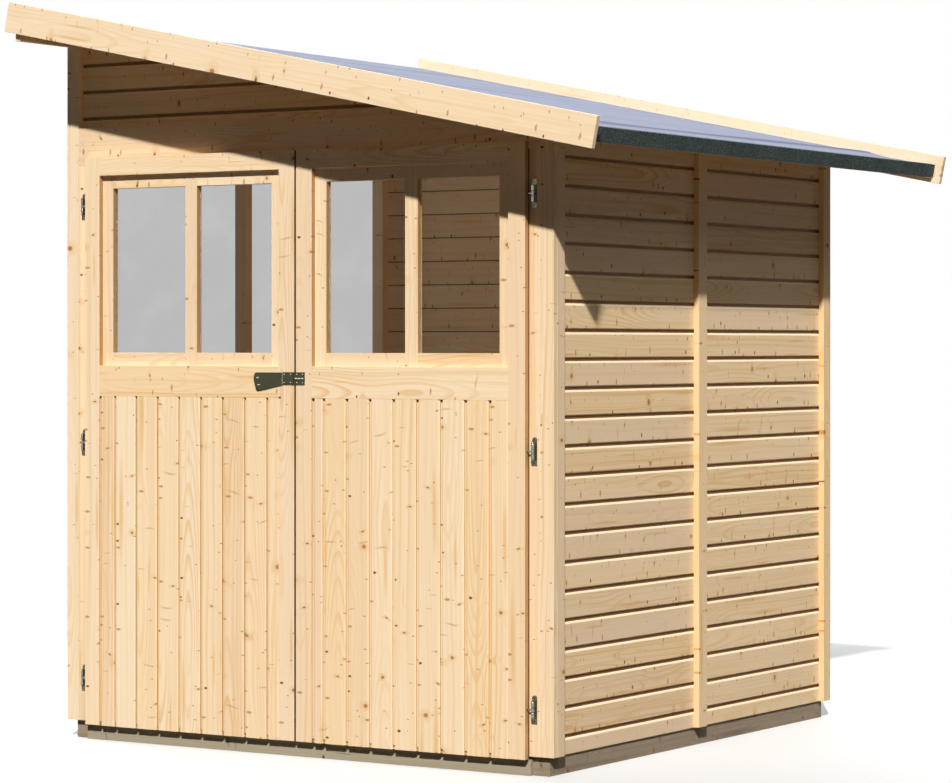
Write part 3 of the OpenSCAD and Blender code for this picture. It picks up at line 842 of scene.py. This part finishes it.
def laySheet():
    r = roofSheet
    length = deckLength - r["short"]

    def uneven(rows, down, along):
        return sum(share * noise.noise((down * first, along * second, level))
                   for first, second, level, share in rows)
    pickNone()
    bpy.ops.mesh.primitive_grid_add(x_subdivisions=r["columns"], y_subdivisions=r["rows"], size=1,
                                    location=(0.5, 0.5, 0))
    sheet = bpy.context.object
    sheet.name = "roofSheet"
    bpy.ops.object.transform_apply(location=True, rotation=True, scale=True)
    creaseShade = addValues(sheet.data, "creaseShade")
    for vert in sheet.data.vertices:
        u, v = vert.co.x, vert.co.y
        down, along = u * length, v * deckWidth
        wave, fold = uneven(r["waves"], down, along), uneven(r["folds"], down, along)
        fade = min(1, *(reach * r["rimFade"] for reach in (u, 1 - u, v, 1 - v)))
        lap = (u - r["seamAt"]) * length / r["seamWide"]
        lap += r["seamWander"] * noise.noise((along * r["seamPace"], 0.0, 11.0))
        step = r["seam"] * math.exp(-lap * lap)
        # painted shade: a dark streak just beside the seam's step, and folds darker away from the eave
        dark = r["seamDark"] * math.exp(-r["darkFall"] * (lap - r["darkAt"]) ** 2)
        creaseShade[vert.index].value = max(dark, fold * (1 - u), 0.0)
        vert.co = (down, along, r["level"] + (max(0, r["ripple"] * (wave + r["waveLift"])) + step) * fade)
    openMesh(sheet)
    bpy.ops.mesh.extrude_region_move()
    bpy.ops.transform.resize(value=(1, 1, 0), center_override=(0, 0, 0))
    bpy.ops.mesh.select_all(action="SELECT")
    bpy.ops.mesh.normals_make_consistent(inside=False)
    closeMesh()
    sheet.data.transform(deckPlace @ Matrix.Translation((0, 0, roofDeck["thick"])))
    bpy.ops.object.shade_smooth_by_angle(angle=smoothAngle)
    dress(sheet, "frame", roofSheetLook, "roof_sheet", "roof_felt")


laySheet()

eaveFelt = {"foot": -0.018, "top": 0.0255, "thick": 0.0014, "fold": 0.03, "edge": 0.0005}


def layFelt():
    # strip down the eave's edge with its upper side folded back over the sheet
    f = eaveFelt
    felt = startBox("eaveFelt", (deckLength, 0, f["foot"]), (deckLength + f["thick"], deckWidth, f["top"]))
    openMesh(felt)
    sliceMesh((f["top"] - f["thick"],), 2)
    pickWhere("VERT", lambda co: co.x < deckLength + hair and co.z > f["top"] - f["thick"] - hair)
    bpy.ops.mesh.select_mode(type="FACE")
    bpy.ops.mesh.extrude_region_move(TRANSFORM_OT_translate={"value": (-f["fold"], 0, 0)})
    closeMesh()
    softenEdges(felt, f["edge"])
    felt.data.transform(deckPlace)
    dress(felt, "frame", eaveFeltLook, "eave_felt", "eave_felt_strip")


layFelt()
print("roof laid")

# hinges and latch: the solids with eased edges, then their screws, rivets, pins and sleeves
headShape = {"round": 0.6, "rim": 0.2, "wall": 0.05, "sunk": 0.5, "smooth": 50}
hinge = {"screwRadius": 0.0024, "screwHigh": 0.0012, "screwIn": 0.008, "capRadius": 0.0036, "capHigh": 0.0022,
         "barrelRadius": 0.0045, "barrelTop": 0.025, "sleeveRadius": 0.0052, "sleeveLong": 0.0178,
         "sleeveAt": (0.0159, -0.0161), "plateThick": 0.0025, "plateHigh": 0.083}
latch = {"thick": 0.003, "plateWide": 0.042, "leverRound": 0.007,
         "rivetRadius": 0.0017, "rivetHigh": 0.0014, "rivetIn": 0.0065,
         "knuckles": 6, "knuckleRadius": 0.0009, "knuckleGap": 0.0022,
         "pinLong": 0.009, "pinRadius": 0.0015, "leverPins": ((0.017, 0.017), (0.021, 0.039)),
         "boltRadius": 0.0022, "boltParts": 3, "boltShare": 0.9, "boltSunk": 0.8,
         "guideWide": 0.005, "guideHigh": 0.0022, "guideEdge": 0.4}
metalEdge = 0.0005


def modelHead(name, radius, high, slotted=False):
    # lies on the XZ plane, facing -Y
    s = headShape
    head = startRod(name, (0, -high / 2, 0), radius, high, "Y")
    openMesh(head)
    pickWhere("EDGE", lambda a, b: max(a.y, b.y) < -high * 0.9)
    bpy.ops.mesh.bevel(offset=high * s["round"], segments=3)
    if slotted:
        pickWhere("VERT", lambda co: co.y < -high * 0.95)
        bpy.ops.mesh.select_mode(type="FACE")
        bpy.ops.mesh.inset(thickness=radius * s["rim"], depth=0)
        bpy.ops.mesh.inset(thickness=radius * s["wall"], depth=-high * s["sunk"])
    closeMesh()
    bpy.ops.object.shade_smooth_by_angle(angle=math.radians(s["smooth"]))
    return head


def modelPin(name, radius, length, axis):
    # rod with rounded ends, centred on the origin
    pin = startRod(name, (0, 0, 0), radius, length, axis)
    softenEdges(pin, radius * headShape["round"], 3)
    return pin


def fixCopies(pattern, spots, body, look, slot="zinc", turn=Matrix()):
    name = pattern.name
    copies = [copyPiece(pattern, name, Matrix.Translation(spot) @ turn) for spot in spots]
    bpy.data.objects.remove(pattern)
    dress(joinPieces(name, copies), body, look, slot)


def roundLever(lever):
    # the free end's corners are rounded
    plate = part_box("latch")[1].x - latch["plateWide"]
    openMesh(lever)
    pickWhere("EDGE", lambda a, b: abs(a.y - b.y) > latch["thick"]
              and max(a.x, b.x) < plate - latch["leverRound"])
    bpy.ops.mesh.bevel(offset=latch["leverRound"], segments=4)
    closeMesh()


for name, node, body, look, slot in (
        ("hingePlates", "post_hinge_plates", "frame", zinc, "zinc"),
        ("leftHingeStuds", "left_hinge_studs", "left_door", sheenZinc, "zinc"),
        ("rightHingeStuds", "right_hinge_studs", "right_door", sheenZinc, "zinc"),
        ("latchLever", "latch", "left_door", latchPaint, "latch_paint"),
        ("latchKeeper", "latch_keeper", "right_door", latchPaint, "latch_paint")):
    metal = copyNode(name, node)
    if name == "latchLever":
        roundLever(metal)
    softenEdges(metal, metalEdge)
    dress(metal, body, look, slot, node)


def finishHinges():
    h = hinge
    low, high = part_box("post_hinge_plates")
    studLow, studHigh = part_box("left_hinge_studs")
    middle = (studLow.y + studHigh.y) / 2
    axes = (studLow.x + h["barrelRadius"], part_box("right_hinge_studs")[1].x - h["barrelRadius"])
    heights = (low.z + h["plateHigh"] / 2, (low.z + high.z) / 2, high.z - h["plateHigh"] / 2)
    holes = h["plateHigh"] / 2 - h["screwIn"]

    def eachHinge(y, rises):
        return [(x, y, z + rise) for x in axes for z in heights for rise in rises]
    screw = modelHead("hingeScrews", h["screwRadius"], h["screwHigh"], True)
    plateMiddle = high.y - h["plateThick"] / 2
    fixCopies(screw, eachHinge(plateMiddle, (-holes, holes)), "frame", latchPaint, "latch_paint")
    cap = modelHead("hingeCaps", h["capRadius"], h["capHigh"])
    sleeve = modelPin("hingeSleeves", h["sleeveRadius"], h["sleeveLong"], "Z")
    fixCopies(sleeve, eachHinge(middle, h["sleeveAt"]), "frame", sheenZinc)
    upright = Matrix.Rotation(-math.pi / 2, 4, "X")
    fixCopies(cap, eachHinge(middle, (h["barrelTop"],)), "frame", zinc, turn=upright)


def finishLatch():
    h = latch
    low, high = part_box("latch")
    keeperLow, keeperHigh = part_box("latch_keeper")
    face = high.y - h["thick"]
    hingeLine = high.x - h["plateWide"]
    rows = (keeperLow.z + h["rivetIn"], keeperHigh.z - h["rivetIn"])
    for name, body, left, right in (("latchRivets", "left_door", hingeLine, high.x - h["guideWide"]),
                                    ("keeperRivets", "right_door", keeperLow.x, keeperHigh.x)):
        rivet = modelHead(name, h["rivetRadius"], h["rivetHigh"])
        fixCopies(rivet, [(x, face, z) for z in rows for x in (left + h["rivetIn"], right - h["rivetIn"])],
                  body, glintZinc)
    pitch = (keeperHigh.z - keeperLow.z) / h["knuckles"]
    knuckle = modelPin("leverKnuckles", h["knuckleRadius"], pitch - h["knuckleGap"], "Z")
    fixCopies(knuckle, [(hingeLine, face - h["knuckleRadius"], keeperLow.z + pitch * (i + 0.5))
                        for i in range(h["knuckles"])], "left_door", glintZinc)
    pin = modelPin("leverPins", h["pinRadius"], h["pinLong"], "X")
    fixCopies(pin, [(low.x + along, low.y - h["pinRadius"] / 2, keeperHigh.z - down)
                    for along, down in h["leverPins"]], "left_door", glintZinc)
    part = (keeperHigh.x - keeperLow.x) / h["boltParts"]
    bolt = modelPin("keeperBolt", h["boltRadius"], part * h["boltShare"], "X")
    boltFront = keeperLow.y + h["boltRadius"] * h["boltSunk"]
    fixCopies(bolt, [(keeperLow.x + part * (i + 0.5), boltFront, (rows[0] + rows[1]) / 2)
                     for i in range(h["boltParts"])], "right_door", glintZinc)
    guide = startBox("boltGuide", (high.x - h["guideWide"], face - h["guideHigh"], keeperLow.z),
                     (high.x, face + h["guideHigh"], keeperHigh.z))
    softenEdges(guide, h["guideHigh"] * h["guideEdge"])
    dress(guide, "left_door", latchPaint, "latch_paint")


finishHinges()
finishLatch()

for node in ("left_window_pane", "right_window_pane"):
    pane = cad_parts[node]
    pane.data.materials.clear()
    pane.data.materials.append(paneGlass)

# beads that hold the panes from the inside, flat strips as wide as the bars in front
paneBeads = {"thick": 0.006, "edge": 0.0022}


def beadPane(side, part, node, along):
    b = paneBeads
    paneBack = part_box(side + "_window_pane")[1].y
    barLow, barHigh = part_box(side + node)
    thinner = b["thick"] / (barHigh.y - barLow.y)
    beads = copyNode(side + part, side + node)
    openMesh(beads)
    bpy.ops.transform.resize(value=(1, thinner, 1), center_override=(0, barHigh.y, 0))
    bpy.ops.transform.translate(value=(0, paneBack + b["thick"] - barHigh.y, 0))
    closeMesh()
    softenEdges(beads, b["edge"])
    layGrain(beads, along)
    dress(beads, side + "_door", spruce, "spruce")


for side in ("left", "right"):
    beadPane(side, "UprightBeads", "_window_uprights", 2)
    beadPane(side, "CrossBeads", "_window_cross_bars", 0)
print("hardware fitted")

# floor, light and camera
floorLook = {"seen": srgb(238, 241, 247), "bounced": srgb(51, 48, 44), "near": 1.6, "far": 5.0, "wide": 120,
             "roughness": 0.9, "specular": 0.1}


def layFloor():
    f = floorLook
    pickNone()
    bpy.ops.mesh.primitive_grid_add(x_subdivisions=8, y_subdivisions=8, size=f["wide"], location=(0, 0, 0))
    floor = bpy.context.object
    floor.name = "floor"
    material, tree, shader = startMaterial("paleFloor")
    seen = seenRays(tree)
    feed(tree, shader, {"Base Color": blendColors(tree, seen, f["bounced"], f["seen"]),
                        "Roughness": f["roughness"], "Specular IOR Level": f["specular"]})
    place = addNode(tree, "ShaderNodeTexCoord").outputs["Object"]
    away = addNode(tree, "ShaderNodeVectorMath", {0: place}, operation="LENGTH").outputs["Value"]
    fade = remap(tree, away, f["near"], f["far"], smooth=True)
    glow = addNode(tree, "ShaderNodeEmission", {"Color": (1, 1, 1, 1), "Strength": 1.0})
    chooseShader(tree, calc(tree, "MULTIPLY", fade, seen), shader, glow, "Material Output")
    floor.data.materials.append(material)


layFloor()

light = {"fill": 0.025, "fillColor": (1.0, 0.96, 0.9, 1), "suns": {
    "keySun": {"power": 4.22, "travel": (-0.378, 0.671, -0.605), "soft": 1.5, "color": (1.0, 0.975, 0.93)},
    "skySun": {"power": 0.42, "travel": (-0.62, 0.1, -0.78), "soft": 35.0, "color": (1.0, 0.93, 0.75)},
    "backSun": {"power": 1.9, "travel": (0.52, -0.62, -0.59), "soft": 50.0, "color": (0.94, 0.97, 1.0)}},
    "sideBox": {"power": 62.0, "size": 1.4, "place": (-4.2, 0.0, 1.5), "aim": (0.0, 0.4, 1.2)}}
scene.world = bpy.data.worlds.new("studio")
scene.world.use_nodes = True
worldTree = scene.world.node_tree
background = feed(worldTree, worldTree.nodes["Background"], {
    "Color": light["fillColor"], "Strength": light["fill"]})
white = addNode(worldTree, "ShaderNodeBackground", {"Color": (1, 1, 1, 1), "Strength": 1.0})
chooseShader(worldTree, seenRays(worldTree), background, white, "World Output")


def hangLamp(name, kind, power, travel):
    lamp = bpy.data.objects.new(name, bpy.data.lights.new(name, kind))
    lamp.data.energy = power
    lamp.rotation_euler = Vector(travel).to_track_quat("-Z", "Y").to_euler()
    scene.collection.objects.link(lamp)
    return lamp


for name, plan in light["suns"].items():
    sun = hangLamp(name, "SUN", plan["power"], plan["travel"])
    sun.data.angle = math.radians(plan["soft"])
    sun.data.color = plan["color"]

# soft box at the open side, behind the front's plane, for the room behind the panes
plan = light["sideBox"]
sideBox = hangLamp("sideBox", "AREA", plan["power"], Vector(plan["aim"]) - Vector(plan["place"]))
sideBox.data.size = plan["size"]
sideBox.location = plan["place"]
sideBox.visible_camera = sideBox.visible_glossy = sideBox.visible_transmission = False

view = {"place": (5.5659, -8.854, 1.2595), "yaw": 32.475, "lens": 120.925, "shiftY": -0.0497}
cameraData = bpy.data.cameras.new("photoView")
cameraData.sensor_fit = "HORIZONTAL"
cameraData.lens = view["lens"]
cameraData.shift_y = view["shiftY"]
camera = bpy.data.objects.new("photoView", cameraData)
camera.location = view["place"]
camera.rotation_euler = (math.pi / 2, 0, math.radians(view["yaw"]))
scene.collection.objects.link(camera)
scene.camera = camera
scene.view_settings.view_transform = "Standard"

pickNone()
print("scene ready")
